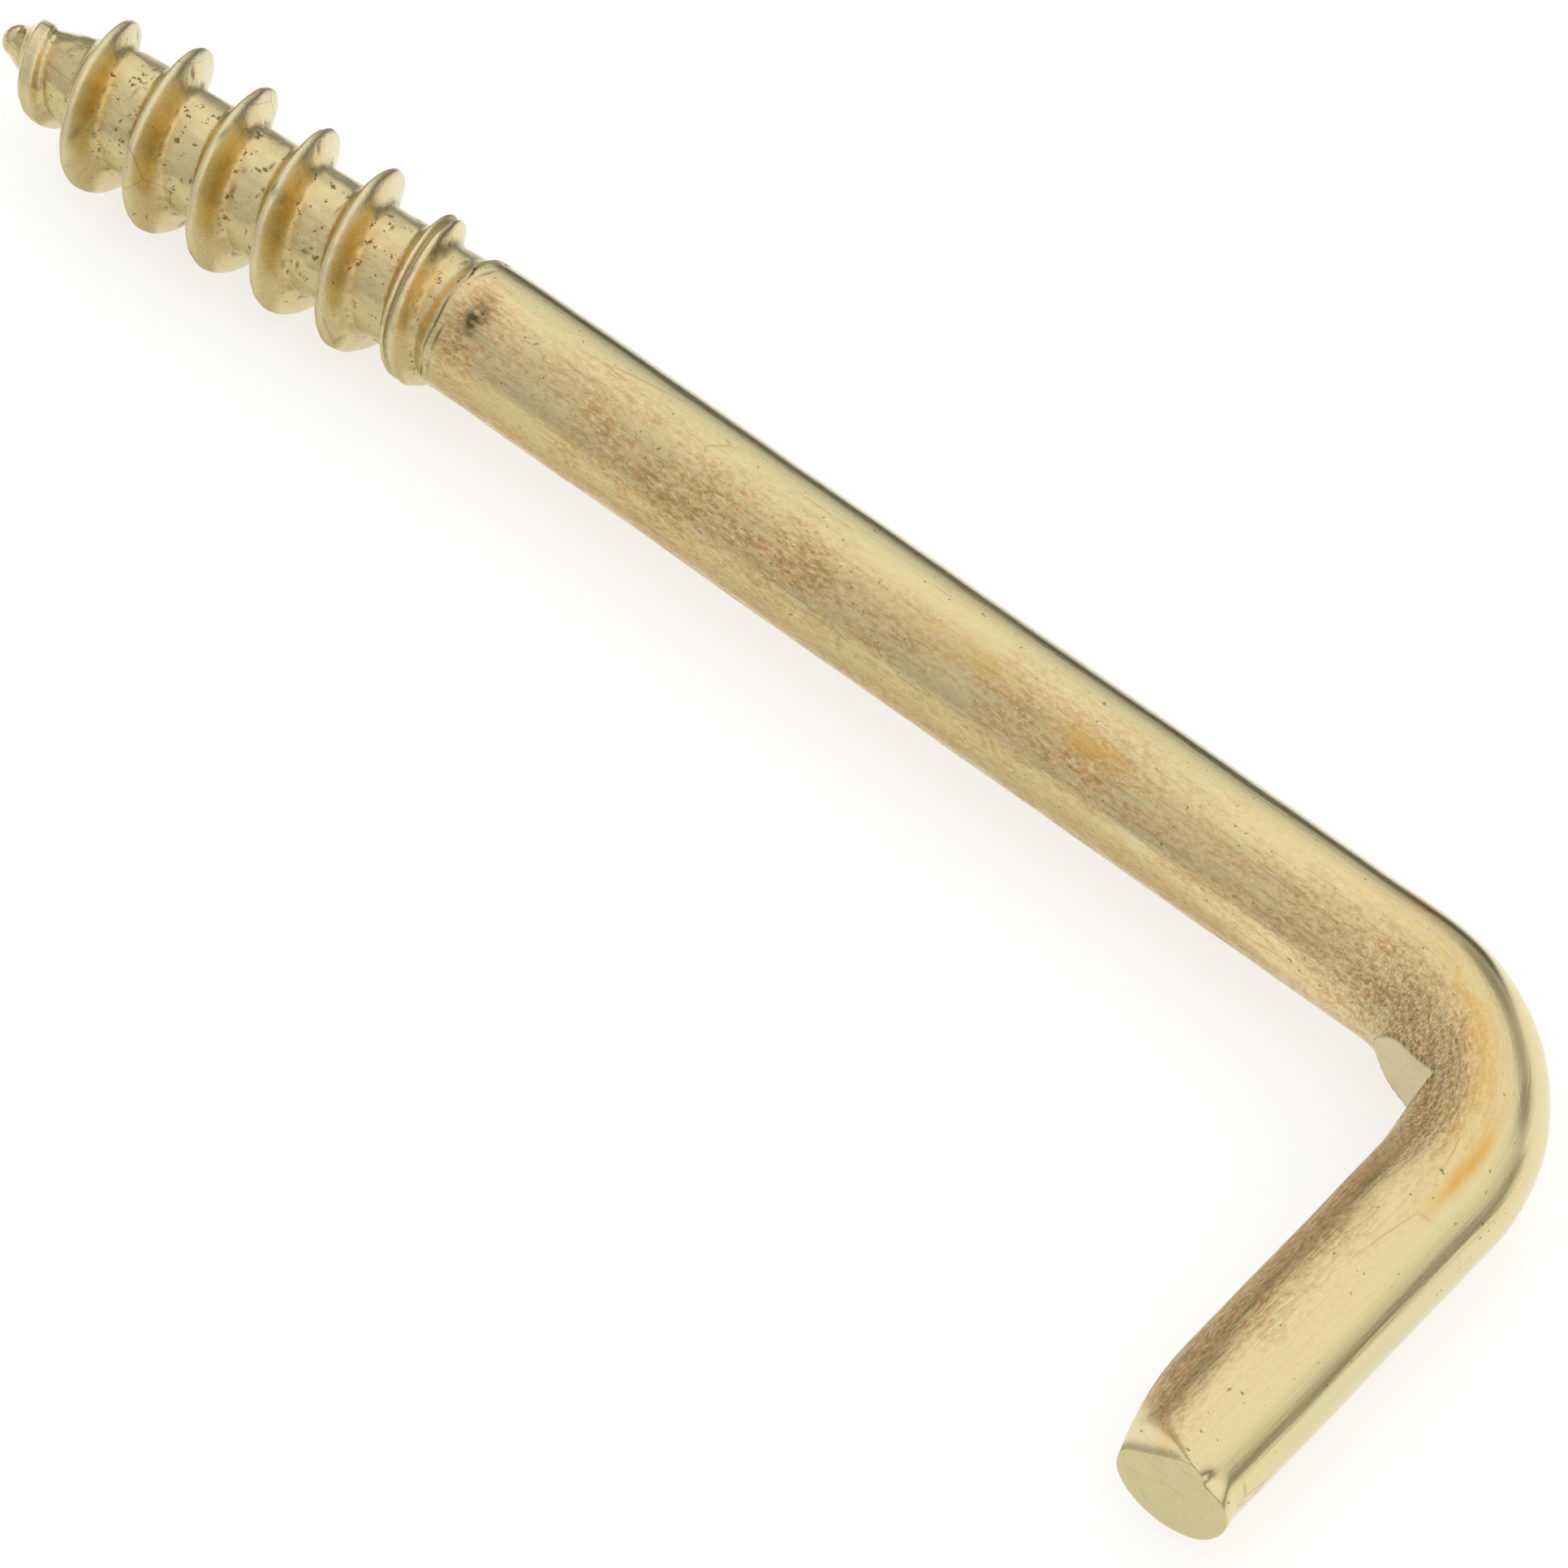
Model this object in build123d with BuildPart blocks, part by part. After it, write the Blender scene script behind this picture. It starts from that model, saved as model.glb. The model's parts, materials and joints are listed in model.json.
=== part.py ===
"""Square-bend screw hook: one length of round wire with a rolled wood-screw thread, bent once to an L.

The hook lies flat in the XY plane. The origin is on the screw axis at the shoulder, where the thread
ends and the plain shank begins, so the YZ plane is the face of the wood once the hook is driven home.
The point is at -X, the bend at +X, and the short arm runs towards -Y. All sizes are in millimetres.
"""

from build123d import *
from math import atan2, cos, degrees, pi, radians, sin, tan
import os

# The wire and its bend
WIRE_DIAMETER = 3.5
SHANK_LENGTH = 33.1  # from the shoulder to where the axes of the shank and the arm cross
ARM_LENGTH = 14.25  # from that crossing to the sheared end
BEND_RADIUS = 4.3  # of the wire's centreline
BEND_ANGLE = 90.0

# The shank leans from the screw axis by a few degrees, because the thread was rolled off straight
SHANK_LEAN = 2.8
LEAN_RADIUS = 25.0  # of the gentle curve at the shoulder that takes up the lean

# The screw's core
THREAD_LENGTH = 14.65  # from the tip of the point to the shoulder
POINT_LENGTH = 3.5  # from the tip to where the root has its full size
POINT_BULGE_RADIUS = 14.0  # the gimlet point is slightly fuller than a cone
NOSE_RADIUS = 0.25
ROOT_DIAMETER_AT_POINT = 2.86
ROOT_DIAMETER_AT_SHOULDER = 3.12
SHOULDER_LENGTH = 0.75  # of the flare from the root up to the wire

# The screw's ridge
PITCH = 2.0
CREST_DIAMETER = 4.6
CREST_ANGLE = 29.0  # round the screw axis, from +Y towards +Z, of a crest at CREST_PLACE
CREST_PLACE = 5.8  # from the shoulder
LAND_WIDTH = 0.16
BASE_WIDTH = 1.08  # between the flanks where they end, inside the core
ROOTING = 0.2  # how deep the flanks run on under the core's surface
RIDGE_START = 0.6  # from the tip to the ridge's beginning
RIDGE_START_HEIGHT = 0.12
RIDGE_GROWTH = 3.4  # from the tip to where the crest has its full diameter
RIDGE_FADE = 3.2  # the crest starts to sink this far before the shoulder
RIDGE_END = 0.1  # and is under the flare's surface this far before the shoulder
RIDGE_END_DEPTH = 0.1

# The mark of the square die inside the bend; the shares are of the bend's inside radius
DIE_BITE = 0.08  # how far the die's nose is sunk into the arm's inner side
DIE_NOSE_SHARE = 0.24  # the nose is this far below the shank's inner side
DIE_START_SHARE = 0.88  # the die's upper face starts this far from the arm's inner side
DIE_LIFT_SHARE = 0.02  # the die's faces are this far clear of the wire where they leave it

# The sheared end, rolled over on one side
ROLL_OVER_TURN = 127.0  # of that side round the arm, from its outer side towards +Z
ROLL_OVER_LENGTH = 1.1
ROLL_OVER_DEPTH = 0.86
CUTTER_MARGIN = 1.0  # how far the cutter reaches past the wire

wire_radius = WIRE_DIAMETER / 2
inside_radius = BEND_RADIUS - wire_radius
crest_radius = CREST_DIAMETER / 2
point_root_radius = ROOT_DIAMETER_AT_POINT / 2
shoulder_root_radius = ROOT_DIAMETER_AT_SHOULDER / 2
tip_x = -THREAD_LENGTH
point_x = tip_x + POINT_LENGTH
flare_x = -SHOULDER_LENGTH


def between(x, start, end):
    """The height at x of the straight line from start to end, each an (x, height) pair."""
    share = (x - start[0]) / (end[0] - start[0])
    return start[1] + share * (end[1] - start[1])


def core_radius(x):
    """The radius of the screw's core at x, with the point taken as a plain cone."""
    nose_top = (tip_x + NOSE_RADIUS, NOSE_RADIUS)
    root_start = (point_x, point_root_radius)
    root_end = (flare_x, shoulder_root_radius)
    if x < point_x:
        return between(x, nose_top, root_start)
    if x < flare_x:
        return between(x, root_start, root_end)
    return between(x, root_end, (0, wire_radius))


def ridge_section(x, crest):
    """The ridge's section at x as (radius, distance along the axis) corners, from its foot round the crest."""
    foot = core_radius(x) - ROOTING
    half = [(foot / 3, BASE_WIDTH / 2), (foot, BASE_WIDTH / 2), (crest, LAND_WIDTH / 2)]
    return [(radius, -across) for radius, across in half] + half[::-1]


def ridge_angle(x):
    """The angle round the screw axis at which the crest passes x, in radians."""
    return radians(CREST_ANGLE) + 2 * pi * (x + CREST_PLACE) / PITCH


def radial_plane(x):
    """The plane through x square to the screw axis, with its x direction pointing at the crest."""
    angle = ridge_angle(x)
    return Plane(origin=(x, 0, 0), x_dir=(0, cos(angle), sin(angle)), z_dir=(1, 0, 0))


def ridge_edge(x, length, start, end):
    """The helix that one corner of the section follows from x on; its radius may change evenly.

    It is made outside any builder, because a helix in a builder can't be turned to another plane.
    """
    slope = atan2(end[0] - start[0], length)
    helix = Helix(
        pitch=PITCH / cos(slope),
        height=length,
        radius=start[0],
        center=(0, 0, start[1]),
        cone_angle=degrees(slope),
    )
    return radial_plane(x) * helix


def ridge_end(x, section):
    """The flat face that closes the ridge at x."""
    plane = radial_plane(x)
    corners = [plane.from_local_coords(Vector(radius, 0, along)) for radius, along in section]
    return Face(Wire.make_polygon(corners, close=True))


# The ridge is a shell of helical faces between a few sections: start, full height, start of fade, end
stations = [
    (tip_x + RIDGE_START, core_radius(tip_x + RIDGE_START) + RIDGE_START_HEIGHT),
    (tip_x + RIDGE_GROWTH, crest_radius),
    (-RIDGE_FADE, crest_radius),
    (-RIDGE_END, core_radius(-RIDGE_END) - RIDGE_END_DEPTH),
]
sections = [(x, ridge_section(x, crest)) for x, crest in stations]
ridge_faces = [ridge_end(*sections[0]), ridge_end(*sections[-1])]
for (x, section), (next_x, next_section) in zip(sections, sections[1:]):
    edges = [ridge_edge(x, next_x - x, a, b) for a, b in zip(section, next_section)]
    for edge, next_edge in zip(edges, edges[1:] + edges[:1]):
        ridge_faces.append(Face.make_surface_from_curves(edge, next_edge))
ridge = Solid(Shell(ridge_faces))

# The wire's centreline, from the shoulder to the sheared end
lean_run = LEAN_RADIUS * tan(radians(SHANK_LEAN) / 2)
bend_run = BEND_RADIUS * tan(radians(BEND_ANGLE) / 2)
shank_direction = Vector(1, 0).rotate(Axis.Z, -SHANK_LEAN)
arm_direction = shank_direction.rotate(Axis.Z, -BEND_ANGLE)
lean_corner = Vector(lean_run, 0)
shank_start = lean_corner + shank_direction * lean_run
corner = lean_corner + shank_direction * (SHANK_LENGTH - lean_run)
bend_start = corner - shank_direction * bend_run
bend_end = corner + arm_direction * bend_run
arm_end = corner + arm_direction * ARM_LENGTH
rolled_side = shank_direction.rotate(Axis(corner, arm_direction), ROLL_OVER_TURN)

with BuildPart() as hook:
    # the wire: the leaning curve, the shank, the bend and the arm
    with BuildLine() as centreline:
        TangentArc((0, 0), shank_start, tangent=(1, 0))
        Line(shank_start, bend_start)
        TangentArc(bend_start, bend_end, tangent=shank_direction)
        Line(bend_end, arm_end)
    with BuildSketch(Plane.YZ):
        Circle(wire_radius)
    sweep(path=centreline.wire())

    # the screw's core, from the point to the shoulder, and the ridge round it
    with BuildSketch(Plane.XY):
        with BuildLine():
            nose_top = (tip_x + NOSE_RADIUS, NOSE_RADIUS)
            root_start = (point_x, point_root_radius)
            RadiusArc((tip_x, 0), nose_top, NOSE_RADIUS)
            RadiusArc(nose_top, root_start, POINT_BULGE_RADIUS)
            Polyline(root_start, (flare_x, shoulder_root_radius), (0, wire_radius), (0, 0), (tip_x, 0))
        make_face()
    revolve(axis=Axis.X)
    add(ridge)

    # the die's mark: a slanting flat that ends in a sharp corner against the arm
    with BuildSketch(Plane(origin=corner, x_dir=-shank_direction, z_dir=(0, 0, 1))):
        with BuildLine():
            die_lift = DIE_LIFT_SHARE * inside_radius
            nose = (wire_radius - DIE_BITE, wire_radius + DIE_NOSE_SHARE * inside_radius)
            on_shank = (wire_radius + DIE_START_SHARE * inside_radius, wire_radius + die_lift)
            on_arm = (wire_radius + die_lift, BEND_RADIUS)
            Polyline(nose, on_shank, (on_shank[0], BEND_RADIUS), on_arm, close=True)
        make_face()
    extrude(amount=wire_radius + CUTTER_MARGIN, both=True, mode=Mode.SUBTRACT)

    # the roll-over: an arc leaves the arm's side and dips into it at the sheared end
    with BuildSketch(Plane(origin=arm_end, x_dir=-arm_direction, z_dir=-arm_direction.cross(rolled_side))):
        with BuildLine():
            leaving = (ROLL_OVER_LENGTH, wire_radius)
            dipped = (0, wire_radius - ROLL_OVER_DEPTH)
            TangentArc(leaving, dipped, tangent=(-1, 0))
            Polyline(
                dipped,
                (-CUTTER_MARGIN, wire_radius - ROLL_OVER_DEPTH),
                (-CUTTER_MARGIN, wire_radius + CUTTER_MARGIN),
                (ROLL_OVER_LENGTH, wire_radius + CUTTER_MARGIN),
                leaving,
            )
        make_face()
    extrude(amount=wire_radius + CUTTER_MARGIN, both=True, mode=Mode.SUBTRACT)

hook.part.label = "square_bend_screw_hook"
os.makedirs("parts", exist_ok=True)
export_step(hook.part, "parts/square_bend_screw_hook.step")
print("corner", corner, "arm end", arm_end, "volume", hook.part.volume, "box", hook.part.bounding_box())
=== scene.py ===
"""Looks for the square-bend screw hook: one detailed brass-finished wire on a plain pale floor.

The wire is one mesh swept along the hook's centreline. Its surface is a radius for each place along the
wire and each angle round it, so the thread, the shoulder, the die mark in the bend and the sheared end
are all real geometry. Angle 0 is the outer side of the L, and a quarter turn from there is up. Masks on
the same grid say where the finish is dark, browned, pooled, worn or pressed, and where painted shade
and a painted highlight lie, and the material reads them.

Shapes are worked out in millimetres and degrees, and turned into metres once, in the mesh.
"""

import json
import math

import bpy
import numpy as np
from mathutils import Matrix, Vector


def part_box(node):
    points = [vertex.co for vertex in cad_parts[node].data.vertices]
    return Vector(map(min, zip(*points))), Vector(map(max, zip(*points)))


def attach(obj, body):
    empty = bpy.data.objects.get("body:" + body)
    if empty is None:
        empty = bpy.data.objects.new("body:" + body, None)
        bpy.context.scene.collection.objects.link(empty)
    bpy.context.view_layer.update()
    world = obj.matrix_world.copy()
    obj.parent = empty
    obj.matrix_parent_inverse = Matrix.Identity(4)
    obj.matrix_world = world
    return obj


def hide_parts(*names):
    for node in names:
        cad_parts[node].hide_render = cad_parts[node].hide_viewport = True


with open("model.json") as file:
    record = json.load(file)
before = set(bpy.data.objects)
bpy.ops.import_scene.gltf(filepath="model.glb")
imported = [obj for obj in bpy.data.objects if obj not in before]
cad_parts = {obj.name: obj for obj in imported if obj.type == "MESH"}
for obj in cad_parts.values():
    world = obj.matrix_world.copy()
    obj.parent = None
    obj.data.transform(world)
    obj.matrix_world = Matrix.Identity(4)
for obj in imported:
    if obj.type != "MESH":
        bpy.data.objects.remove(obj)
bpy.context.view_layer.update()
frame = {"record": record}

# ---------------------------------------------------------------- sizes that the frame gives
NODE = "square_bend_screw_hook"
MM = 0.001
mounts = {mount["name"]: mount for mount in frame["record"]["mounts"]}
WIRE_RADIUS = mounts["arm"]["dims"]["r_mm"]
CREST_RADIUS = mounts["screw_thread"]["dims"]["r_mm"]
THREAD_LENGTH = mounts["screw_thread"]["dims"]["length_mm"]
ARM_STRAIGHT = mounts["arm"]["dims"]["length_mm"]
arm_middle = Vector(mounts["arm"]["pos_m"]) / MM
arm_direction = Vector(mounts["arm"]["axis"])
bend_end = arm_middle - arm_direction * ARM_STRAIGHT / 2

# ---------------------------------------------------------------- the centreline
BEND_RADIUS = 4.3
LEAN_RADIUS = 25.0
lean = math.atan2(-arm_direction.x, -arm_direction.y)
shank_direction = Vector((math.cos(lean), -math.sin(lean), 0))
corner = bend_end - arm_direction * BEND_RADIUS
lean_arc = LEAN_RADIUS * lean
lean_run = LEAN_RADIUS * math.tan(lean / 2)
bend_arc = BEND_RADIUS * math.pi / 2
shank_length = (corner - Vector((lean_run, 0, 0))).length
shank_straight = shank_length - lean_run - BEND_RADIUS

# each stretch of the centreline as (length, curvature); the wire only ever turns towards the arm
stretches = [
    (THREAD_LENGTH, 0.0),
    (lean_arc, 1 / LEAN_RADIUS),
    (shank_straight, 0.0),
    (bend_arc, 1 / BEND_RADIUS),
    (ARM_STRAIGHT, 0.0),
]
bend_from = THREAD_LENGTH + lean_arc + shank_straight
bend_to = bend_from + bend_arc
wire_length = bend_to + ARM_STRAIGHT


def stretch_path(heading, curvature, run):
    """How far a stretch leads in X and Y after this run along it, from its first heading."""
    if curvature:
        turned = heading + run * curvature
        in_x = (np.sin(turned) - math.sin(heading)) / curvature
        in_y = (np.cos(turned) - math.cos(heading)) / curvature
    else:
        in_x = run * math.cos(heading)
        in_y = -run * math.sin(heading)
    return np.stack([in_x, in_y], axis=-1)


def centreline(along):
    """Points and directions of the centreline at these distances from the tip of the screw."""
    points = np.zeros((len(along), 3))
    headings = np.zeros(len(along))
    start = np.array([-THREAD_LENGTH, 0.0])
    heading, begin = 0.0, 0.0
    for length, curvature in stretches:
        here = along >= begin
        run = along[here] - begin
        points[here, :2] = start + stretch_path(heading, curvature, run)
        headings[here] = heading + run * curvature
        start = start + stretch_path(heading, curvature, length)
        heading += length * curvature
        begin += length
    directions = np.stack([np.cos(headings), -np.sin(headings), np.zeros(len(along))], axis=1)
    return points, directions


# ---------------------------------------------------------------- small shaping helpers
def ramp(value, start, end):
    """0 before start, 1 after end, and smooth between them."""
    share = np.clip((value - start) / (end - start), 0, 1)
    return share * share * (3 - 2 * share)


def bump(value, middle, width):
    """1 at the middle, falling away like a bell."""
    return np.exp(-(((value - middle) / width) ** 2))


def smooth_max(a, b, blend):
    """The larger of two surfaces, with the corner between them filled by a fillet."""
    overlap = np.clip(blend - np.abs(a - b), 0, None) / blend
    return np.maximum(a, b) + overlap * overlap * blend / 4


def turn_from(angle, middle):
    """The signed difference of two angles, between half a turn either way."""
    return (angle - middle + math.pi) % (2 * math.pi) - math.pi


def side(angle, turn, width):
    """1 on the side of the wire at this turn, falling away over this many degrees."""
    return bump(np.degrees(turn_from(angle, math.radians(turn))), 0, width)


def spot(along, angle, place, turn, length, width):
    """1 at one spot on the wire, falling away over this length along it and this many degrees round it."""
    return bump(along, place, length) * side(angle, turn, width)


class Ripple:
    """Smooth repeatable unevenness over the straightened wire: a few crossing waves of random direction."""

    def __init__(self, seed, finest, coarsest, waves=14):
        random = np.random.default_rng(seed)
        sizes = np.exp(random.uniform(math.log(finest), math.log(coarsest), waves))
        facing = random.normal(size=(waves, 3))
        facing /= np.linalg.norm(facing, axis=1)[:, None]
        self.waves = facing / sizes[:, None] * 2 * math.pi
        self.starts = random.uniform(0, 2 * math.pi, waves)
        self.scale = math.sqrt(2 / waves)

    def __call__(self, x, y, z):
        total = np.zeros(np.broadcast(x, y, z).shape)
        for (along, across, up), start in zip(self.waves, self.starts):
            total += np.sin(x * along + y * across + z * up + start)
        return total * self.scale


uneven = Ripple(3, 1.5, 9.0)
rough = Ripple(11, 0.35, 1.4)
torn = Ripple(29, 0.25, 1.2)

# ---------------------------------------------------------------- the screw thread
# x is measured along the screw axis from the shoulder, so it is negative on the thread
PITCH = 2.0
CREST_ANGLE = math.radians(29.0)
CREST_PLACE = 5.8  # a crest passes CREST_ANGLE this far before the shoulder
FLANK_SLOPE = 2.5
CREST_ROUNDING = 0.09
CREST_UNEVENNESS = 0.008
ROOT_FILLET = 0.34
LAND = 0.02  # half the width of the crest's flat
WIDE_LAND = 0.12  # and how much wider it is on the first and last turns
NOSE_RADIUS = 0.42
POINT_LENGTH = 3.5
POINT_FULLNESS = 0.42  # how much the gimlet point is fuller than a cone
CORE_TAPER_LENGTH = 10.4
ROOT_AT_POINT = 1.43
ROOT_AT_SHOULDER = 1.56
SHOULDER_START = 0.6
SHOULDER_END = 0.1
FIRST_TURN_ENDS = (1.6, 3.4)  # behind the tip
LAST_TURN_STARTS = (-3.2, -1.6)
FOLD_ENDS = (-0.6, -0.1)
SEAM_DEPTH = 0.012
FOLD_DEPTH = 0.15  # the last turn's seam is a deeper fold
SEAM_WIDTH = 0.055
SEAM_PLACE = 0.02
SEAM_WANDER = 0.03

# the crest's radius at these distances behind the tip, and before the shoulder
CREST_GROWTH = [
    (0.4, 0.0), (0.55, 0.4), (0.85, 0.75), (1.9, 1.5), (2.75, 1.9), (3.55, 2.27), (4.4, CREST_RADIUS),
]
CREST_FADE = [(0.0, 1.6), (0.4, 1.8), (0.8, 2.03), (1.8, 2.05), (2.1, 2.1), (3.1, CREST_RADIUS)]


def root_radius(x):
    """The radius of the screw's core: a blunt nose, a full gimlet point, a slight taper and the shoulder."""
    behind = np.clip(x + THREAD_LENGTH, 0, None)
    to_nose_centre = NOSE_RADIUS - np.minimum(behind, NOSE_RADIUS)
    nose = np.sqrt(np.clip(NOSE_RADIUS**2 - to_nose_centre**2, 0, None))
    share = np.clip((behind - NOSE_RADIUS) / (POINT_LENGTH - NOSE_RADIUS), 0, 1)
    point = (ROOT_AT_POINT - NOSE_RADIUS) * (share + POINT_FULLNESS * share * (1 - share))
    taper = np.clip((behind - POINT_LENGTH) / CORE_TAPER_LENGTH, 0, 1)
    body = (ROOT_AT_SHOULDER - ROOT_AT_POINT) * taper
    flare = (WIRE_RADIUS - ROOT_AT_SHOULDER) * ramp(x, -SHOULDER_START, -SHOULDER_END)
    return nose + point + body + flare


def crest_reach(x):
    """The crest's radius: a small first turn, quick growth, full turns and a low last turn."""
    growth = np.interp(x + THREAD_LENGTH, *zip(*CREST_GROWTH))
    fade = np.interp(-x, *zip(*CREST_FADE))
    return np.minimum(growth, fade)


def thread_radius(x, angle):
    """The thread's surface: the root, with a ridge wound round it and a rolled seam along its crest.

    It also gives the distance from the nearest crest, positive towards the bend, and how far the ridge
    stands above the root.
    """
    place = (x - (PITCH * (angle - CREST_ANGLE) / (2 * math.pi) - CREST_PLACE)) / PITCH
    off_crest = (place - np.round(place)) * PITCH
    crest_x = x - off_crest
    last_turn = ramp(crest_x, *LAST_TURN_STARTS)
    first_turn = 1 - ramp(crest_x + THREAD_LENGTH, *FIRST_TURN_ENDS)
    land = LAND + WIDE_LAND * (last_turn + first_turn)
    past_land = np.clip(np.abs(off_crest) - land, 0, None)
    drop = np.sqrt(past_land**2 + CREST_ROUNDING**2) - CREST_ROUNDING
    reach = crest_reach(crest_x) * (1 + CREST_UNEVENNESS * uneven(crest_x * 1.5, angle * 2, 0.0))
    folded = last_turn * (1 - ramp(crest_x, *FOLD_ENDS))
    seam_depth = SEAM_DEPTH * (1 - first_turn) + FOLD_DEPTH * folded
    seam_place = SEAM_PLACE + SEAM_WANDER * uneven(crest_x, angle, 3.0) * last_turn
    ridge = reach - FLANK_SLOPE * drop - seam_depth * bump(off_crest, seam_place, SEAM_WIDTH)
    root = root_radius(x)
    radius = np.where(ridge > root - ROOT_FILLET, smooth_max(root, ridge, ROOT_FILLET), root)
    return radius, off_crest, ridge - root


# ---------------------------------------------------------------- pits, cracks and the dent by the shoulder
PIT_COUNT = 90
PIT_DEPTH = 0.035
CRACK_DEPTH = 0.05
DENT_DEPTH = 0.09
DENT = (THREAD_LENGTH + 0.68, 115, 0.24, 14)  # its place, turn, length and width
SHOULDER_CRACKS = [(-0.2, 0.035, 0.0), (0.08, 0.03, 5.0)]  # each one's x, width and seed


def thread_pits(along, angle):
    """Small torn pits scattered over the rolled thread, as a depth from 0 to 1."""
    random = np.random.default_rng(21)
    depth = np.zeros(along.shape)
    for _ in range(PIT_COUNT):
        place = random.uniform(3.0, THREAD_LENGTH)
        turn = random.uniform(-math.pi, math.pi)
        length, width = random.uniform(0.03, 0.07), random.uniform(2, 7)
        near = np.abs(along[:, 0] - place) < 3 * length
        pit = spot(along[near], angle[near], place, math.degrees(turn), length, width)
        depth[near] = np.maximum(depth[near], pit * random.uniform(0.4, 1.0))
    return depth


def shoulder_cracks(x, angle):
    """Folded cracks where the thread runs out into the wire, as a depth from 0 to 1."""
    total = np.zeros(x.shape)
    for place, width, seed in SHOULDER_CRACKS:
        wander = place + 0.06 * uneven(seed, np.cos(angle) * 3, np.sin(angle) * 3)
        strength = ramp(uneven(seed + 9, np.cos(angle) * 4, np.sin(angle) * 4), -0.9, 0.9)
        total = np.maximum(total, bump(x, wander, width) * strength)
    return total


def shoulder_dent(along, angle, across, up):
    """The ragged dent just past the shoulder, as a depth from 0 to 1."""
    dent = spot(along, angle, *DENT)
    return dent * ramp(rough(along * 2, across * 2, up * 2), -2.2, 0.2)


# ---------------------------------------------------------------- the die mark inside the bend
INSIDE_RADIUS = BEND_RADIUS - WIRE_RADIUS
DIE_BITE = 0.08  # how far the die's nose is sunk into the arm's inner side
DIE_NOSE_SHARE = 0.24
DIE_START_SHARE = 0.9
DIE_LIFT_ON_SHANK = 0.04
DIE_LIFT_FAR_ALONG = 0.4
DIE_LIFT_ON_ARM = 0.02
SWELLING = 0.36
SWELLING_PLACE = 2.4
SWELLING_LENGTH = 1.0
SWELLING_SPREAD = 1.25


def die_limit(centres, outward):
    """How far the wire may reach from its centreline before it meets the square die it was bent over.

    The die has two upright faces that meet in the sharp inner corner: a slanting one below the shank, in
    two parts, and a nearly straight one along the arm. Each is a line in the hook's flat, given by two
    points as distances back along the shank and down along the arm.
    """
    back = -np.array(shank_direction)
    down = np.array(arm_direction)
    nose = (WIRE_RADIUS - DIE_BITE, WIRE_RADIUS + DIE_NOSE_SHARE * INSIDE_RADIUS)
    on_shank = (WIRE_RADIUS + DIE_START_SHARE * INSIDE_RADIUS, WIRE_RADIUS + DIE_LIFT_ON_SHANK)
    far_shank = (BEND_RADIUS + 4 * WIRE_RADIUS, WIRE_RADIUS + DIE_LIFT_FAR_ALONG)
    on_arm = (WIRE_RADIUS + DIE_LIFT_ON_ARM, BEND_RADIUS)
    reach = np.full(centres.shape[:-1], -np.inf)
    for start, end, into in ((nose, on_shank, down), (on_shank, far_shank, down), (nose, on_arm, back)):
        edge = back * (end[0] - start[0]) + down * (end[1] - start[1])
        normal = into - edge * (into @ edge) / (edge @ edge)
        normal /= np.linalg.norm(normal)
        point = np.array(corner) + back * start[0] + down * start[1]
        gap = (point - centres) @ normal
        speed = outward @ normal
        outside = np.where(gap > 0, np.inf, -np.inf)
        crossing = np.where(speed > 1e-6, gap / np.maximum(speed, 1e-6), outside)
        reach = np.maximum(reach, crossing)
    return reach


def swelling(along, angle):
    """The metal that the bend squeezed out on its inner side, before the die pressed it flat."""
    inner = np.clip(np.abs(turn_from(angle, math.pi)) / SWELLING_SPREAD, 0, 1)
    rise = 0.5 + 0.5 * np.cos(inner * math.pi)
    return SWELLING * bump(along, bend_from + SWELLING_PLACE, SWELLING_LENGTH) * rise


# ---------------------------------------------------------------- the sheared end
BLADE_TURN = math.radians(127)
BLADE_LENGTH = 0.65
BLADE_DEPTH = 0.9
BLADE_ROUNDING = 0.3
DRAG_LENGTH = 3.0
DRAG_DEPTH = 0.55
BURR_HEIGHT = 0.15
NOTCH_DEPTH = 0.2
BURR_LENGTH = 0.6
# sides of the wire, as the turn of the middle and how many degrees each reaches
DRAGGED_SIDE = (172, 48)
BURR_SIDE = (10, 24)
NOTCH_SIDE = (42, 9)


def shear(radius, before_end, angle):
    """The wire's radius near its cut end: rolled over where the blade came in, dragged in beside it.

    The far side keeps a thin burr, with a notch torn next to it.
    """
    pressed = WIRE_RADIUS - BLADE_DEPTH * np.clip(1 - before_end / BLADE_LENGTH, 0, 1) ** 2
    facing = np.cos(turn_from(angle, BLADE_TURN))
    flat = np.where(facing > 0.1, pressed / np.maximum(facing, 0.1), 9.0)
    dragged = DRAG_DEPTH * np.clip(1 - before_end / DRAG_LENGTH, 0, 1) ** 2
    radius = radius - dragged * side(angle, *DRAGGED_SIDE)
    radius = -smooth_max(-radius, -flat, BLADE_ROUNDING)
    burr = BURR_HEIGHT * side(angle, *BURR_SIDE)
    notch = NOTCH_DEPTH * side(angle, *NOTCH_SIDE)
    near_end = 1 - ramp(before_end, 0.0, BURR_LENGTH)
    return radius + near_end * (burr - notch)


# ---------------------------------------------------------------- masks for the finish
# streaks of pooled lacquer: how strong, where along the wire, which turn, how long and how wide
STREAKS = [
    (0.8, THREAD_LENGTH + 19.9, 112, 0.9, 11),
    (0.45, THREAD_LENGTH + 16.2, 105, 1.8, 13),
    (0.85, bend_from - 0.5, 51, 0.75, 9),
    (0.5, (bend_from + bend_to) / 2, 86, 3.4, 13),
    (1.0, bend_to - 0.15, 68, 1.4, 7),
    (0.9, wire_length - 0.15, 94, 0.22, 9),
]
BROWN_BY_SHOULDER = (THREAD_LENGTH + 0.6, 116, 0.5, 36)

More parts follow.
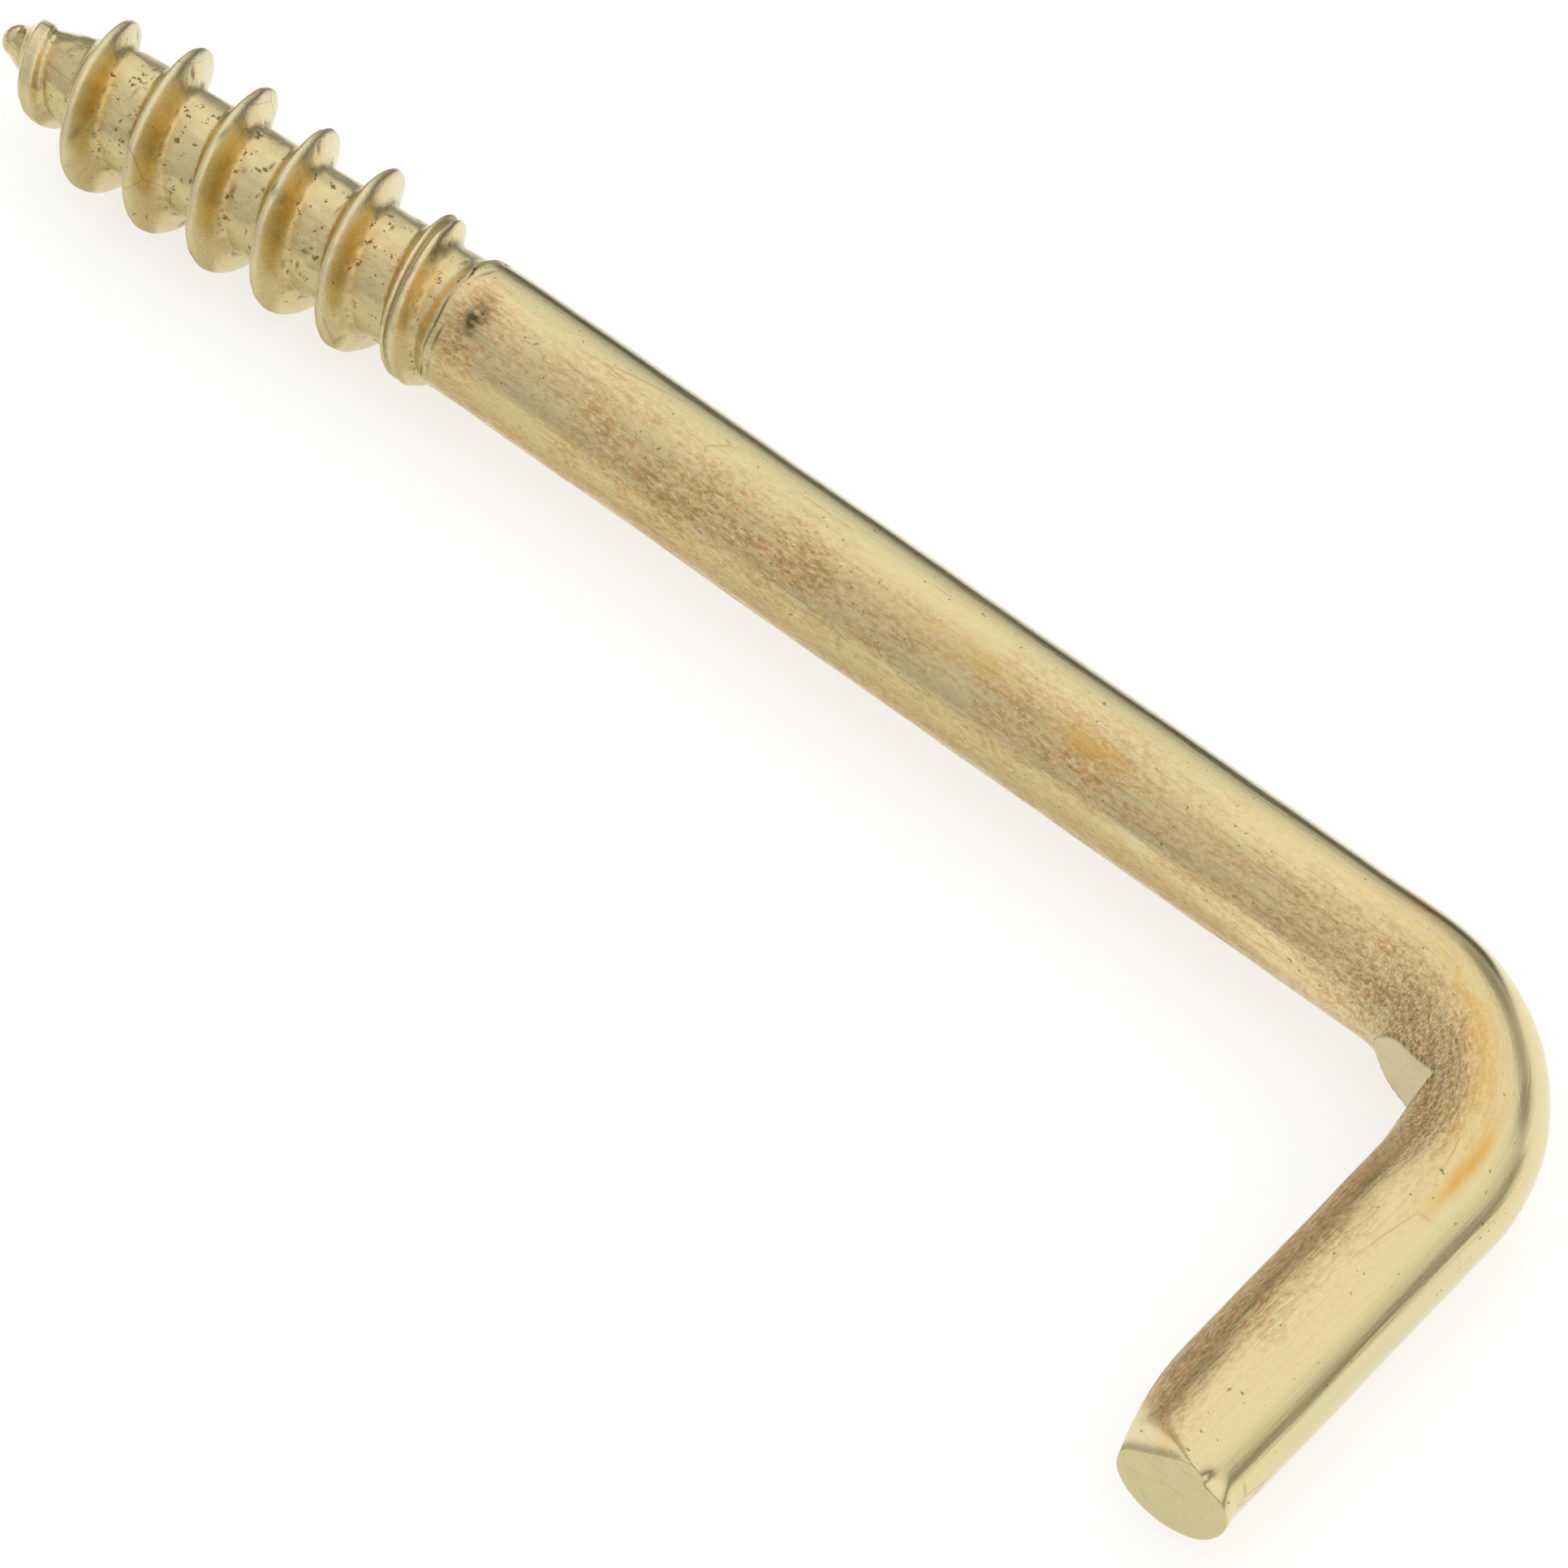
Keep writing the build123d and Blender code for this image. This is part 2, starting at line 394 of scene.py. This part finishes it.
# sides of the wire, as the turn of the middle and how many degrees each reaches
UPPER_FLANK = (118, 44)
LOWER_FLANK = (-70, 40)
BROWN_BAND = (128, 42)
FAINT_BAND = (-75, 40)
# the next two are painted shade: low on the inner side, and along the arm's inner side
PAINTED_SHADE_SIDE = (206, 28)
SHADED_INNER_ARM = (152, 22)
GRAIN = (145, 45)


def pooled_mask(along, angle, x, off_crest, on_thread):
    """Where the lacquer pooled: the flanks that face the bend, and a few streaks along the wire."""
    flank = ramp(off_crest, 0.1, 0.26) * (1 - ramp(off_crest, 0.45, 0.8)) * on_thread
    sides = side(angle, *UPPER_FLANK) + 0.6 * side(angle, *LOWER_FLANK)
    pooled = 0.62 * flank * sides * ramp(x, -13.6, -12.0)
    for strength, place, turn, length, width in STREAKS:
        pooled = pooled + strength * spot(along, angle, place, turn, length, width)
    return np.clip(pooled, 0, 1)


def shaded_inner_arm_mask(along, angle):
    """Painted shade on the arm's inner side, short of its cut end."""
    on_arm = ramp(along, bend_to - 1, bend_to + 1) * (1 - ramp(along, wire_length - 2.0, wire_length - 0.4))
    return side(angle, *SHADED_INNER_ARM) * on_arm


def near_bend(along):
    """1 in the bend and 0 well away from it."""
    return ramp(along, bend_from - 3, bend_from + 1) * (1 - ramp(along, bend_to - 1, bend_to + 2))


def browned_and_shaded_mask(along, angle, x, across, up):
    """The browned band on the side that faces up and inwards, a fainter one underneath, and painted shade.
    """
    patchy = 0.85 + 0.2 * uneven(along * 0.6, across, up)
    band = side(angle, *BROWN_BAND) + 0.6 * side(angle, *FAINT_BAND)
    # painted shade: low on the inner side, and on the arm's inner side short of the cut end
    painted_shade = 0.8 * side(angle, *PAINTED_SHADE_SIDE) + shaded_inner_arm_mask(along, angle)
    browned = np.clip(band * patchy * (1 + 0.4 * near_bend(along)) + painted_shade, 0, 1.3)
    browned = browned * (0.35 + 0.65 * ramp(x, -0.3, 0.5))
    return browned + spot(along, angle, *BROWN_BY_SHOULDER)


def wire_surface(along, angle):
    """The radius of the straightened wire at these places, with the masks that its material reads."""
    x = along - THREAD_LENGTH
    across, up = WIRE_RADIUS * np.cos(angle), WIRE_RADIUS * np.sin(angle)
    thread, off_crest, above_root = thread_radius(x, angle)
    pits = thread_pits(along, angle)
    cracks = shoulder_cracks(x, angle)
    dent = shoulder_dent(along, angle, across, up)
    on_thread = 1 - ramp(x, -0.02, 0.06)

    radius = np.where(x < 0, thread, WIRE_RADIUS)
    radius = radius + 0.005 * uneven(along, across, up)
    roughened = (1 - ramp(x, -0.4, 0.0)) * ramp(x, -14.6, -13.5)
    radius = radius + 0.007 * rough(along, across, up) * roughened
    radius = radius - PIT_DEPTH * pits - CRACK_DEPTH * cracks - DENT_DEPTH * dent

    at_root = bump(above_root, -0.06, 0.1) * on_thread * ramp(rough(along, across, up), -0.2, 1.5)
    on_crest = np.clip(1 - np.abs(off_crest) / 0.1, 0, 1) * (above_root > 0.1) * on_thread
    seam = on_crest * (0.25 + 0.75 * ramp(x, -3.6, -2.2))
    crevice = np.clip(0.9 * pits + cracks + 1.5 * dent + 0.5 * at_root + 0.55 * seam, 0, 1)
    masks = {
        # the arm's inner side joins the dark marks as painted shade
        "crevice": np.clip(crevice + 0.3 * shaded_inner_arm_mask(along, angle), 0, 1),
        "pooled": pooled_mask(along, angle, x, off_crest, on_thread),
        "browned": browned_and_shaded_mask(along, angle, x, across, up),
        "grainy": near_bend(along) * side(angle, *GRAIN),
        # worn crests of the thread; the cut end adds a painted highlight to this mask
        "worn": np.clip(1 - np.abs(off_crest) / 0.3, 0, 1) * ramp(above_root, 0.1, 0.3) * on_thread,
        "rooted": on_thread * (1 - ramp(above_root, 0.0, 0.25)) * ramp(x, -13.0, -11.0),
    }
    return radius, masks


def press_bend(radius, masks, along, angle, centres, outward):
    """Swells the wire inside the bend and flattens it against the die."""
    radius = radius + swelling(along, angle)
    in_reach = (along > bend_from - 3) & (along < bend_to + 1)
    limit = np.where(in_reach, die_limit(centres, outward), np.inf)
    over = radius - limit
    rim = bump(over, -0.02, 0.03) * ramp(along, bend_from + 1.2, bend_from + 1.8)
    masks["pressed"] = ramp(over, -0.005, 0.02)
    masks["crevice"] = np.maximum(masks["crevice"], 0.75 * rim)
    return np.minimum(radius, limit)


def cut_end(radius, masks, along, angle):
    """Shears the arm's end, with a dark line where it rolled over and a painted highlight on the rolled
    metal.
    """
    before_end = wire_length - along
    radius = np.where(before_end < DRAG_LENGTH, shear(radius, before_end, angle), radius)
    rolled = ramp(WIRE_RADIUS - radius, 0.05, 0.3) * (1 - ramp(before_end, 0.5, 1.0))
    # painted highlight: the rolled metal is painted pale, with less of the browning and painted shade
    masks["worn"] = np.maximum(masks["worn"], rolled)
    masks["browned"] = masks["browned"] * (1 - 0.7 * rolled)
    masks["crevice"] = np.maximum(masks["crevice"], 0.6 * rolled * bump(before_end, 0.02, 0.06))
    masks["sheared"] = np.where(before_end < 0.01, 0.5, 0.0)
    return radius


# ---------------------------------------------------------------- the wire's mesh
COLUMNS = 136
# the grid's rows: from where to where along the wire, and how far apart
ROW_STEPS = [
    (0.0, 0.35, 0.03),
    (0.35, THREAD_LENGTH + 1.0, 0.037),
    (THREAD_LENGTH + 1.0, bend_from - 2.4, 0.45),
    (bend_from - 2.4, bend_to + 0.6, 0.085),
    (bend_to + 0.6, wire_length - 2.4, 0.45),
    (wire_length - 2.4, wire_length - 0.7, 0.085),
    (wire_length - 0.7, wire_length, 0.03),
]
# the sheared face is closed by rings that shrink to these shares of its outline
FACE_RINGS = [0.985, 0.96, 0.91, 0.84, 0.76, 0.68, 0.6, 0.52, 0.44, 0.36, 0.28, 0.2, 0.12, 0.06]
FACE_ROUGHNESS = 0.02


def grid_rows():
    """The rows' distances along the wire, without the tip itself."""
    spans = [
        np.linspace(start, end, int(round((end - start) / step)), endpoint=False)
        for start, end, step in ROW_STEPS
    ]
    return np.concatenate(spans + [[wire_length]])[1:]


def face_rings(outline, middle, direction):
    """The rings of the sheared face, a little torn between its rim and its middle."""
    rings = []
    for share in FACE_RINGS:
        flat = middle + (outline - middle) * share
        tearing = torn(flat[:, 0] * 0.4, flat[:, 2], flat[:, 1] * 0)
        rise = FACE_ROUGHNESS * tearing * ramp(1 - share, 0, 0.2)
        rings.append(flat + direction * rise[:, None])
    return rings


def skin_faces(ring_count, tip, middle):
    """Quads between neighbouring rings, with a fan of triangles at each end."""
    ring = np.arange(ring_count - 1)[:, None] * COLUMNS
    column = np.arange(COLUMNS)[None]
    beside = (column + 1) % COLUMNS
    corners = [ring + column, ring + COLUMNS + column, ring + COLUMNS + beside, ring + beside]
    quads = np.stack(corners, axis=-1).reshape(-1, 4)
    faces = [tuple(quad) for quad in quads.tolist()]
    last_ring = (ring_count - 1) * COLUMNS
    for column in range(COLUMNS):
        beside = (column + 1) % COLUMNS
        faces.append((tip, column, beside))
        faces.append((last_ring + column, middle, last_ring + beside))
    return faces


def build_wire():
    """The wire as one mesh, with its straightened coordinates and masks as attributes."""
    rows = grid_rows()
    around = np.arange(COLUMNS) * 2 * math.pi / COLUMNS
    along, angle = np.meshgrid(rows, around, indexing="ij")
    points, directions = centreline(rows)
    outer = np.stack([-directions[:, 1], directions[:, 0], np.zeros(len(rows))], axis=1)
    upward = np.array([0, 0, 1.0])
    outward = np.cos(angle)[..., None] * outer[:, None] + np.sin(angle)[..., None] * upward
    centres = np.broadcast_to(points[:, None], outward.shape)

    radius, masks = wire_surface(along, angle)
    radius = press_bend(radius, masks, along, angle, centres, outward)
    radius = cut_end(radius, masks, along, angle)
    surface = centres + outward * radius[..., None]
    rings = face_rings(surface[-1], points[-1], directions[-1])
    tip = points[0] - directions[0] * rows[0]
    vertices = np.concatenate([surface.reshape(-1, 3), *rings, [tip, points[-1]]])
    straight = np.stack([along, radius * np.cos(angle), radius * np.sin(angle)], axis=-1)
    straight_rings = [straight[-1] * [1, share, share] for share in FACE_RINGS]
    straight_ends = [[0, 0, 0], [wire_length, 0, 0]]
    straightened = np.concatenate([straight.reshape(-1, 3), *straight_rings, straight_ends])

    faces = skin_faces(len(rows) + len(FACE_RINGS), len(vertices) - 2, len(vertices) - 1)
    mesh = bpy.data.meshes.new("hook_wire")
    mesh.from_pydata((vertices * MM).tolist(), [], faces)
    mesh.polygons.foreach_set("use_smooth", [True] * len(mesh.polygons))
    attribute = mesh.attributes.new("straight_wire", "FLOAT_VECTOR", "POINT")
    attribute.data.foreach_set("vector", straightened.astype(np.float32).ravel())
    beyond_grid = len(vertices) - along.size
    for name, values in masks.items():
        on_face = np.full(beyond_grid, 1.0 if name == "sheared" else 0.0)
        attribute = mesh.attributes.new(name, "FLOAT", "POINT")
        attribute.data.foreach_set("value", np.concatenate([values.ravel(), on_face]).astype(np.float32))
    mesh.update()
    piece = bpy.data.objects.new("hook_wire", mesh)
    bpy.context.scene.collection.objects.link(piece)
    return piece


# ---------------------------------------------------------------- the brass finish
class Finish:
    """A material with short helpers for the few kinds of node that it needs."""

    def __init__(self, name):
        self.material = bpy.data.materials.new(name)
        self.material.use_nodes = True
        self.nodes = self.material.node_tree.nodes
        self.shader = self.nodes["Principled BSDF"]

    def feed(self, value, socket):
        """Links another node's output to the socket, or sets a plain value on it."""
        if isinstance(value, bpy.types.NodeSocket):
            self.material.node_tree.links.new(value, socket)
        else:
            socket.default_value = value

    def mask(self, name):
        """One of the mesh's masks."""
        node = self.nodes.new("ShaderNodeAttribute")
        node.attribute_name = name
        return node.outputs["Fac"]

    def along_wire(self, stretch):
        """Coordinates in millimetres of the straightened wire, drawn out this many times along it."""
        node = self.nodes.new("ShaderNodeAttribute")
        node.attribute_name = "straight_wire"
        mapping = self.nodes.new("ShaderNodeMapping")
        mapping.inputs["Scale"].default_value = (1 / stretch, 1, 1)
        self.feed(node.outputs["Vector"], mapping.inputs["Vector"])
        return mapping.outputs["Vector"]

    def noise(self, stretch, grain, detail=3.0, roughness=0.55):
        """Cloudy noise, drawn out along the wire, whose patches are about this many millimetres across."""
        node = self.nodes.new("ShaderNodeTexNoise")
        node.inputs["Scale"].default_value = 1 / grain
        node.inputs["Detail"].default_value = detail
        node.inputs["Roughness"].default_value = roughness
        self.feed(self.along_wire(stretch), node.inputs["Vector"])
        return node.outputs["Fac"]

    def cell_edges(self, stretch, grain):
        """The distance to the edges of irregular cells of this size."""
        node = self.nodes.new("ShaderNodeTexVoronoi")
        node.feature = "DISTANCE_TO_EDGE"
        node.inputs["Scale"].default_value = 1 / grain
        self.feed(self.along_wire(stretch), node.inputs["Vector"])
        return node.outputs["Distance"]

    def span(self, value, start, end, low=0.0, high=1.0):
        """The value's place between start and end, smoothed and carried over to low and high."""
        node = self.nodes.new("ShaderNodeMapRange")
        node.interpolation_type = "SMOOTHSTEP"
        for name, number in (("From Min", start), ("From Max", end), ("To Min", low), ("To Max", high)):
            node.inputs[name].default_value = number
        self.feed(value, node.inputs["Value"])
        return node.outputs["Result"]

    def arithmetic(self, operation, first, second):
        """Two values combined, kept between 0 and 1."""
        node = self.nodes.new("ShaderNodeMath")
        node.operation = operation
        node.use_clamp = True
        self.feed(first, node.inputs[0])
        self.feed(second, node.inputs[1])
        return node.outputs[0]

    def add(self, first, second):
        return self.arithmetic("ADD", first, second)

    def subtract(self, first, second):
        return self.arithmetic("SUBTRACT", first, second)

    def multiply(self, first, second):
        return self.arithmetic("MULTIPLY", first, second)

    def blend(self, share, below, above):
        """One colour over another by this share."""
        node = self.nodes.new("ShaderNodeMix")
        node.data_type = "RGBA"
        sockets = [socket for socket in node.inputs if socket.type == "RGBA"]
        self.feed(share, node.inputs["Factor"])
        self.feed(below, sockets[0])
        self.feed(above, sockets[1])
        return [socket for socket in node.outputs if socket.type == "RGBA"][0]

    def relief(self, height, depth, below=None):
        """Relief of this depth in millimetres, on top of any relief below it."""
        node = self.nodes.new("ShaderNodeBump")
        node.inputs["Distance"].default_value = depth * MM
        self.feed(height, node.inputs["Height"])
        if below:
            self.feed(below, node.inputs["Normal"])
        return node.outputs["Normal"]


STRAW = (0.77, 0.65, 0.355, 1)
GREENISH = (0.705, 0.635, 0.365, 1)
TAN = (0.74, 0.50, 0.245, 1)
UMBER = (0.40, 0.26, 0.12, 1)
ORANGE = (0.70, 0.42, 0.105, 1)
OLIVE = (0.42, 0.37, 0.2, 1)
PRESSED = (0.62, 0.53, 0.31, 1)
DARK_OLIVE = (0.09, 0.075, 0.035, 1)
# the cut face's colour, darkened with painted shade
SHADED_CUT_FACE = (0.63, 0.55, 0.30, 1)
PALE_SPECK = (0.90, 0.80, 0.55, 1)


def clean_plating(finish, lines):
    """Straw to greenish, in soft clouds and fine drawn lines."""
    clouds = finish.noise(4.0, 2.6)
    colour = finish.blend(finish.span(clouds, 0.38, 0.62), STRAW, GREENISH)
    return finish.blend(finish.span(lines, 0.55, 0.8, 0.0, 0.4), colour, TAN)


def brown_specks(finish, colour, browned, speckle, lines):
    """The browned band and the painted shade, with dark specks, pale specks and dull olive lines in them."""
    dark = finish.multiply(browned, finish.span(speckle, 0.47, 0.6, 0.0, 0.85))
    pale = finish.multiply(browned, finish.span(speckle, 0.46, 0.35, 0.0, 0.85))
    dull_lines = finish.multiply(finish.mask("browned"), finish.span(lines, 0.45, 0.3, 0.0, 0.6))
    for share, above in ((browned, TAN), (dark, UMBER), (pale, PALE_SPECK), (dull_lines, OLIVE)):
        colour = finish.blend(share, colour, above)
    return colour


def bend_colours(finish, colour):
    """Sparkling grain inside the bend, and the plain metal that the die pressed."""
    sparkle = finish.noise(1.1, 0.11, detail=4.0, roughness=0.7)
    grainy = finish.mask("grainy")
    dark = finish.multiply(grainy, finish.span(sparkle, 0.54, 0.6, 0.0, 0.75))
    pale = finish.multiply(grainy, finish.span(sparkle, 0.46, 0.38, 0.0, 0.85))
    for share, above in ((dark, UMBER), (pale, PALE_SPECK), (finish.mask("pressed"), PRESSED)):
        colour = finish.blend(share, colour, above)
    return colour


def hairline_scratches(finish):
    """A few thin scratches, in patches."""
    hairs = finish.span(finish.cell_edges(3.0, 2.4), 0.012, 0.0)
    return finish.multiply(hairs, finish.span(finish.noise(1.0, 2.2), 0.52, 0.62, 0.0, 0.5))


def dark_places(finish, torn_roots):
    """Pits, cracks, small flecks, the torn roots of the thread, and painted shade on the arm's inner side.
    """
    flecks = finish.span(finish.noise(1.0, 0.16, detail=1.0), 0.72, 0.78, 0.0, 0.6)
    dark = finish.add(finish.multiply(finish.mask("crevice"), 0.85), flecks)
    return finish.add(dark, torn_roots)


def brass_gloss(finish, browned, lines):
    """Smooth lacquer, duller where it browned or wore, in the crevices and on the sheared end.

    The browned and worn masks also carry the painted shade and the painted highlight, which dull it too.
    """
    gloss = finish.add(finish.span(browned, 0.1, 1.0, 0.17, 0.36), finish.span(lines, 0.3, 0.8, 0.0, 0.08))
    for mask, duller in (("crevice", 0.35), ("rooted", 0.12), ("worn", 0.16), ("sheared", 0.22)):
        gloss = finish.add(gloss, finish.multiply(finish.mask(mask), duller))
    return gloss


def brass_relief(finish, browned, lines, speckle, torn_roots):
    """Drawn lines, orange-peel speckle, torn roots, the grainy inside of the bend and the torn end."""
    peel = finish.multiply(speckle, finish.span(browned, 0.0, 1.0, 0.25, 1.0))
    coarse = finish.noise(1.0, 0.16, detail=4.0, roughness=0.7)
    grain = finish.multiply(coarse, finish.subtract(finish.mask("grainy"), finish.mask("pressed")))
    torn_end = finish.multiply(finish.noise(1.0, 0.3, detail=4.0), finish.mask("sheared"))
    relief = finish.relief(lines, 0.006)
    for height, depth in ((peel, 0.012), (torn_roots, -0.05), (grain, 0.09), (torn_end, 0.05)):
        relief = finish.relief(height, depth, relief)
    return relief


def brass_finish():
    """Thin lacquered brass plating on drawn wire: straw, browned in a band, orange where it pooled."""
    finish = Finish("brass_finish")
    lines = finish.noise(22.0, 0.13, detail=2.0)
    speckle = finish.noise(2.3, 0.1, detail=5.0, roughness=0.75)
    mottling = finish.noise(2.6, 0.42, detail=5.0, roughness=0.68)
    smears = finish.noise(7.0, 0.3, detail=4.0, roughness=0.7)
    patches = finish.span(mottling, 0.34, 0.6, 0.15, 0.7)
    patches = finish.add(patches, finish.span(smears, 0.36, 0.66, 0.0, 0.6))
    browned = finish.multiply(finish.mask("browned"), patches)
    pooled = finish.multiply(finish.mask("pooled"), finish.span(mottling, 0.25, 0.6, 0.45, 1.1))
    tears = finish.span(finish.noise(1.0, 0.26, detail=4.0, roughness=0.7), 0.6, 0.68, 0.0, 0.7)
    torn_roots = finish.multiply(tears, finish.mask("rooted"))

    colour = clean_plating(finish, lines)
    colour = brown_specks(finish, colour, browned, speckle, lines)
    colour = bend_colours(finish, colour)
    colour = finish.blend(pooled, colour, ORANGE)
    # pale on worn crests, and a painted highlight on the rolled metal at the cut end
    colour = finish.blend(finish.multiply(finish.mask("worn"), 0.4), colour, PALE_SPECK)
    colour = finish.blend(hairline_scratches(finish), colour, UMBER)
    colour = finish.blend(dark_places(finish, torn_roots), colour, DARK_OLIVE)
    # the cut face, darkened with painted shade
    colour = finish.blend(finish.mask("sheared"), colour, SHADED_CUT_FACE)

    finish.feed(colour, finish.shader.inputs["Base Color"])
    finish.feed(brass_gloss(finish, browned, lines), finish.shader.inputs["Roughness"])
    finish.feed(brass_relief(finish, browned, lines, speckle, torn_roots), finish.shader.inputs["Normal"])
    finish.shader.inputs["Metallic"].default_value = 1.0
    return finish.material


wire = build_wire()
wire.data.materials.append(brass_finish())
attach(wire, "root")
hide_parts(NODE)

# ---------------------------------------------------------------- the floor and the reflected cards
FLOOR_SIZE = 4.0  # in metres, as are the next two
FLOOR_CLEARANCE = 0.0001
CARD_CLEARANCE = 0.00003
FLOOR_GREY = 0.5
FLOOR_GLOW = 0.62
CARD_WARMTH = 0.9
floor_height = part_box(NODE)[0].z - FLOOR_CLEARANCE
card_height = floor_height + CARD_CLEARANCE

# the cards paint darker reflections of the floor around the hook; only the polished wire sees them
# each card's brightness, and its corners as distances back along the shank and down along the arm
CARDS = {
    "card_beyond_shank": (0.1, [(90, -8), (4, -8), (-5, -60), (90, -60)]),
    "card_beyond_arm": (0.28, [(-12, -6), (-12, 60), (-120, 60), (-90, -90), (-14, -14)]),
    "card_below_shank": (0.95, [(90, 2), (7, 2), (14, 9), (40, 60), (90, 60)]),
}


def plain_material(name, colour, glow=0.0):
    """A dull material of one colour, with a little white glow if it needs one."""
    material = bpy.data.materials.new(name)
    material.use_nodes = True
    shader = material.node_tree.nodes["Principled BSDF"]
    shader.inputs["Base Color"].default_value = (*colour, 1)
    shader.inputs["Roughness"].default_value = 0.9
    shader.inputs["Specular IOR Level"].default_value = 0.1
    shader.inputs["Emission Color"].default_value = (1, 1, 1, 1)
    shader.inputs["Emission Strength"].default_value = glow
    return material


def flat_sheet(name, corners, material):
    """One flat face with these corners, as part of the stage."""
    mesh = bpy.data.meshes.new(name)
    mesh.from_pydata(corners, [], [tuple(range(len(corners)))])
    mesh.materials.append(material)
    sheet = bpy.data.objects.new(name, mesh)
    bpy.context.scene.collection.objects.link(sheet)
    return sheet


def floor():
    half = FLOOR_SIZE / 2
    places = [(-half, -half), (half, -half), (half, half), (-half, half)]
    corners = [(x, y, floor_height) for x, y in places]
    grey = (FLOOR_GREY, FLOOR_GREY, FLOOR_GREY)
    flat_sheet("floor", corners, plain_material("pale_floor", grey, FLOOR_GLOW))


def low_card(name, grey, outline):
    """A card lying just above the floor that only shows in the polished wire, as a painted darker
    reflection.
    """
    places = [(corner - shank_direction * back + arm_direction * down) * MM for back, down in outline]
    corners = [(place.x, place.y, card_height) for place in places]
    card = flat_sheet(name, corners, plain_material(name, (grey, grey, grey * CARD_WARMTH)))
    card.visible_camera = False
    card.visible_diffuse = False
    card.visible_shadow = False


floor()
for card_name, (grey, outline) in CARDS.items():
    low_card(card_name, grey, outline)

# ---------------------------------------------------------------- the light
WARM_WHITE = (1.0, 0.99, 0.97, 1)
# each shade of the room: which way it lies, the cosines it runs between, and its strength at each of them
ROOM_SHADES = [
    ((0.5, 0.6, 0.3), -0.2, 0.4, 0.74, 1.08),  # brighter beyond the hook and to its right
    ((0.0, 0.0, 1.0), 0.0, 0.09, 0.12, 1.0),  # a dark horizon
    ((0.9, -0.45, 0.6), -0.95, -0.7, 0.15, 1.0),  # dark low down beyond the screw's point
    ((0.0, 0.98, 0.17), 0.972, 0.992, 1.0, 0.3),  # and three low ones in a row beyond the bend
    ((0.26, 0.92, 0.25), 0.972, 0.992, 1.0, 0.3),
    ((0.5, 0.84, 0.17), 0.972, 0.992, 1.0, 0.3),
    ((0.0, 0.0, 1.0), 0.0, 0.65, 0.7, 1.0),  # dimmer low down than overhead
]


def room_shade(tree, coordinates, direction, start, end, start_strength, end_strength):
    """A smooth change of strength with the cosine of the angle from this direction."""
    dot = tree.nodes.new("ShaderNodeVectorMath")
    dot.operation = "DOT_PRODUCT"
    dot.inputs[1].default_value = direction
    tree.links.new(coordinates, dot.inputs[0])
    span = tree.nodes.new("ShaderNodeMapRange")
    span.interpolation_type = "SMOOTHSTEP"
    span.inputs["From Min"].default_value = start
    span.inputs["From Max"].default_value = end
    span.inputs["To Min"].default_value = start_strength
    span.inputs["To Max"].default_value = end_strength
    tree.links.new(dot.outputs["Value"], span.inputs["Value"])
    return span.outputs["Result"]


def soft_room():
    """The light: a soft pale room, whose strength is the product of its shades."""
    world = bpy.data.worlds.new("soft_room")
    world.use_nodes = True
    tree = world.node_tree
    background = tree.nodes["Background"]
    coordinates = tree.nodes.new("ShaderNodeTexCoord").outputs["Generated"]
    strength, *shades = [room_shade(tree, coordinates, *shade) for shade in ROOM_SHADES]
    for shade in shades:
        product = tree.nodes.new("ShaderNodeMath")
        product.operation = "MULTIPLY"
        tree.links.new(strength, product.inputs[0])
        tree.links.new(shade, product.inputs[1])
        strength = product.outputs[0]
    tree.links.new(strength, background.inputs["Strength"])
    background.inputs["Color"].default_value = WARM_WHITE
    bpy.context.scene.world = world


soft_room()
bpy.context.scene.view_settings.view_transform = "Standard"

# ---------------------------------------------------------------- the camera
AZIMUTH = 38.66 - math.degrees(lean)
ELEVATION = 55.58
ROLL = 1.89
DISTANCE = 139.05  # in wire radii, as are the next two
AIM_BACK = 10.681  # from the corner along the shank
AIM_DOWN = 3.034  # and along the arm
FOCAL_LENGTH = 237.55
SENSOR_WIDTH = 36


def aim_camera(azimuth, elevation, roll, distance, target):
    """A camera that looks at the target from this far, rolled a little about its own view."""
    a, e, r = math.radians(azimuth), math.radians(elevation), math.radians(roll)
    back = Vector((math.sin(a) * math.cos(e), -math.cos(a) * math.cos(e), math.sin(e)))
    right = Vector((math.cos(a), math.sin(a), 0))
    up = back.cross(right)
    tilted_right = right * math.cos(r) + up * math.sin(r)
    tilted_up = up * math.cos(r) - right * math.sin(r)
    data = bpy.data.cameras.new("camera")
    data.lens = FOCAL_LENGTH
    data.sensor_width = SENSOR_WIDTH
    data.clip_start, data.clip_end = 0.01, 20
    camera = bpy.data.objects.new("camera", data)
    turn = Matrix((tilted_right, tilted_up, back)).transposed().to_4x4()
    camera.matrix_world = Matrix.Translation(target + back * distance) @ turn
    bpy.context.scene.collection.objects.link(camera)
    bpy.context.scene.camera = camera


to_target = (arm_direction * AIM_DOWN - shank_direction * AIM_BACK) * WIRE_RADIUS
aim_camera(AZIMUTH, ELEVATION, ROLL, DISTANCE * WIRE_RADIUS * MM, (corner + to_target) * MM)
